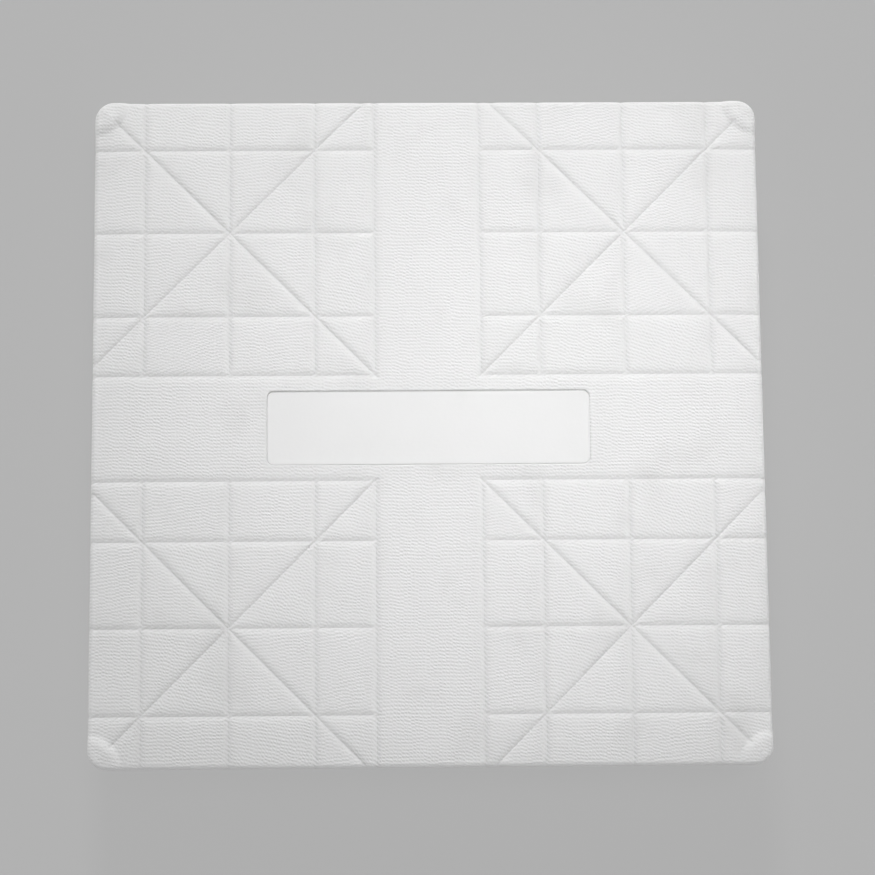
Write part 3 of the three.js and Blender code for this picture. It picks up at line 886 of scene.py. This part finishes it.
class FIELDBASE_OT_panel(bpy.types.Operator):
    """Let the bare panel into the top face."""

    bl_idname = "field_base.panel"
    bl_label = "Centre panel"

    def execute(self, context):
        panel = context.scene.base_panel
        low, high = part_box("centre_panel")
        half_x, half_y, radius = high[0], high[1], panel.corner_radius
        ease, hold = 0.05 * MM, 1.5 * MM
        skirt, shelf = panel.clearance - ease, high[2] - panel.gap_depth
        profile = [(skirt, low[2]), (skirt, shelf), (0, shelf)]
        steps, edge = 4, panel.edge_round
        for step in range(steps + 1):
            angle = QUARTER_TURN * step / steps
            profile.append((edge * (math.cos(angle) - 1), high[2] - edge * (1 - math.sin(angle))))
        profile.append((-hold, high[2]))
        rings = [rounded_ring(half_x + out, half_y + out, radius + out, z) for out, z in profile]
        rings[2:] = [[(x - panel.lean, y - panel.lean, z) for x, y, z in ring] for ring in rings[2:]]
        piece = add_mesh("bare_panel", *loft(rings), panel_material(panel))
        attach(piece, "base")
        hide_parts("centre_panel")
        return {"FINISHED"}


class FIELDBASE_OT_foam(bpy.types.Operator):
    """Fill the cover with its foam core."""

    bl_idname = "field_base.foam"
    bl_label = "Foam core"

    def execute(self, context):
        cover, steel = context.scene.base_cover, context.scene.base_steel
        low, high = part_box("foam_core")
        side, corner = high[0], cover.corner_radius - cover.wall
        clearance, soft = 0.5 * MM, 3 * MM
        window = side - cover.lip_width
        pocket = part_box("right_gusset")[1][0] + clearance
        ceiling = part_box("stem_cap")[1][2] + clearance
        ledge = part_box("front_rail")[1][2] + SEAT
        shoulder = high[2] - cover.border_drop
        crown = side - cover.border_width + cover.wall
        rings = [
            rounded_ring(half, half, radius, z) for half, radius, z in (
                (pocket, soft, ceiling),
                (pocket, soft, low[2] + soft),
                (pocket + soft, soft, low[2]),
                (window - soft, soft, low[2]),
                (window, soft, low[2] + soft),
                (window, soft, ledge),
                (side - soft, corner, ledge),
                (side, corner, ledge + soft),
                (side, corner, shoulder - soft),
                (side - soft, corner, shoulder),
                (crown, corner, high[2]),
            )
        ]
        piece = add_mesh("foam_block", *loft(rings), foam_material(steel))
        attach(piece, "base")
        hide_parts("foam_core")
        return {"FINISHED"}


class FIELDBASE_OT_welds(bpy.types.Operator):
    """Weld the stem to the plate above it, and the wings to the sleeve."""

    bl_idname = "field_base.welds"
    bl_label = "Welds"

    RIPPLE_POINTS = 6
    RIPPLE_SWELL = 0.07
    SINK = 0.15 * MM
    CURVE = ((0.92, 0.2), (0.62, 0.6), (0.22, 0.92))
    STEM_CORNER = 5 * MM
    CORNER_STEPS = 10
    WAYS = {"front": (0, -1, 0), "right": (1, 0, 0), "back": (0, 1, 0), "left": (-1, 0, 0)}

    def execute(self, context):
        steel = context.scene.base_steel
        beads = (
            ("stem_weld", "base", self.stem_bead(steel)),
            ("wing_welds", "ground_anchor", self.wing_beads(steel)),
        )
        for name, body, (points, faces) in beads:
            piece = add_mesh(name, points, faces, steel_material(steel))
            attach(piece, body)
        return {"FINISHED"}

    def bead_rings(self, steel, path, away, off):
        """Sections of a rippled bead along a path, in the corner between two faces."""
        leg, sink = steel.weld_leg, self.SINK
        curve = ((a * leg, b * leg) for a, b in self.CURVE)
        section = ((-sink, -sink), (leg, -sink), *curve, (-sink, leg))
        rings = []
        for number, point in enumerate(path):
            swell = 1 + self.RIPPLE_SWELL * math.cos(number * FULL_TURN / self.RIPPLE_POINTS)
            rings.append([
                tuple(point + away[number] * (a if a < 0 else a * swell) + off * (b if b < 0 else b * swell))
                for a, b in section
            ])
        return rings

    def stem_bead(self, steel):
        """Bead round the stem, under the plate."""
        stem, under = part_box("stem")[1][0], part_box("base_plate")[0][2]
        outline, nearby = (
            np.array(rounded_ring(stem + out, stem + out, self.STEM_CORNER + out, under, self.CORNER_STEPS))
            for out in (0, MM)
        )
        path, away = even_path(outline, nearby, steel.weld_ripple, self.RIPPLE_POINTS)
        rings = self.bead_rings(steel, path, away, np.array((0, 0, -1)))
        points, numbers = numbered(rings)
        return points, [f for i, ring in enumerate(numbers) for f in joined_rings(numbers[i - 1], ring)]

    def wing_beads(self, steel):
        """Beads along both sides of each wing."""
        points, faces = [], []
        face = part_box("anchor_sleeve")[1][0]
        for name, outward in self.WAYS.items():
            low, high = (np.array(corner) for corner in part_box("anchor_wing_" + name))
            outward = np.array(outward)
            across = np.array((-outward[1], outward[0], 0))
            half_thickness = abs(across @ (high - low)) / 2
            count = self.RIPPLE_POINTS * round((high[2] - low[2]) / steel.weld_ripple)
            for side in (1, -1):
                away = across * side
                start = outward * face + away * half_thickness
                path = [start + (0, 0, z) for z in np.linspace(low[2], high[2], count + 1)]
                rings = self.bead_rings(steel, path, [away] * len(path), outward)
                bead_points, bead_faces = loft([ring[::-side] for ring in rings])
                faces.extend(tuple(i + len(points) for i in bead_face) for bead_face in bead_faces)
                points.extend(bead_points)
        return points, faces


class FIELDBASE_OT_steelwork(bpy.types.Operator):
    """Galvanise the plate, rails, stem, cap, gussets, sleeve and wings."""

    bl_idname = "field_base.steelwork"
    bl_label = "Steelwork"

    def execute(self, context):
        finish_nodes("galvanised_steel", steel_material(context.scene.base_steel))
        return {"FINISHED"}


class FIELDBASE_OT_screws(bpy.types.Operator):
    """Plate the screws."""

    bl_idname = "field_base.screws"
    bl_label = "Plate screws"

    def execute(self, context):
        finish_nodes("zinc_screw", zinc_material(context.scene.base_steel))
        return {"FINISHED"}


OPERATORS = (
    FIELDBASE_OT_stage,
    FIELDBASE_OT_cover,
    FIELDBASE_OT_panel,
    FIELDBASE_OT_foam,
    FIELDBASE_OT_welds,
    FIELDBASE_OT_steelwork,
    FIELDBASE_OT_screws,
)


class FIELDBASE_PT_pieces(bpy.types.Panel):
    """Lists the pieces of the base and their sizes."""

    bl_label = "Baseball base"
    bl_idname = "FIELDBASE_PT_pieces"
    bl_space_type = "VIEW_3D"
    bl_region_type = "UI"
    bl_category = "Field base"

    def draw(self, context):
        for operator in OPERATORS:
            self.layout.operator(operator.bl_idname)
        for name, group in SETTINGS.items():
            box = self.layout.box()
            for key in group.__annotations__:
                box.prop(getattr(context.scene, name), key)


CLASSES = (*SETTINGS.values(), *OPERATORS, FIELDBASE_PT_pieces)


def register():
    for item in CLASSES:
        bpy.utils.register_class(item)
    for name, group in SETTINGS.items():
        setattr(bpy.types.Scene, name, PointerProperty(type=group))


def unregister():
    for name in SETTINGS:
        delattr(bpy.types.Scene, name)
    for item in reversed(CLASSES):
        bpy.utils.unregister_class(item)


def main():
    register()
    bpy.ops.field_base.stage()
    bpy.ops.field_base.cover()
    bpy.ops.field_base.panel()
    bpy.ops.field_base.foam()
    bpy.ops.field_base.welds()
    bpy.ops.field_base.steelwork()
    bpy.ops.field_base.screws()


if __name__ == "__main__":
    main()
